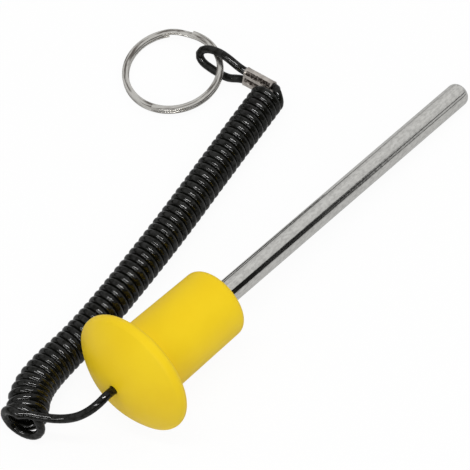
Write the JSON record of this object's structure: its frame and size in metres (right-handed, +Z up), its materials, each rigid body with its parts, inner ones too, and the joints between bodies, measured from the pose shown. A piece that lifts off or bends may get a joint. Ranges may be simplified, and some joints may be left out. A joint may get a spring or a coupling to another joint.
{
  "type": "weight stack selector pin",
  "caption": "Steel selector pin with a moulded mushroom knob, a coiled lanyard cord, a crimped cord loop and a split ring.",
  "frame": {"origin": "on the surface the pin lies on, under the middle of the knob and rod's box", "axes": "+Z up; +X along the pin from the knob to the tip, which dips to the surface; the coiled cord lies at +Y"},
  "size_m": [0.1934, 0.1156, 0.0418],
  "materials": {
    "knob_plastic": "satin yellow moulding",
    "rod_steel": "bright zinc-plated drawn steel",
    "stop_metal": "crimped aluminium",
    "cord_plastic": "glossy black polyurethane",
    "ferrule_metal": "crimped tin-plated metal",
    "ring_metal": "bright nickel plate"
  },
  "bodies": {
    "pin": {"knob": "knob_plastic", "pin_rod": "rod_steel", "cord_stop": "stop_metal", "cord_tail": "cord_plastic", "cord_coil": "cord_plastic", "cord_loop": "cord_plastic", "ferrule": "ferrule_metal"},
    "ring": {"split_ring": "ring_metal"}
  },
  "joints": [
    {"name": "ring_swing", "type": "hinge", "parent": "pin", "child": "ring", "pos_m": [0.0389, 0.0668, 0.0047], "axis": [0.682, 0.7314, 0], "range_deg": [0, 130]}
  ]
}
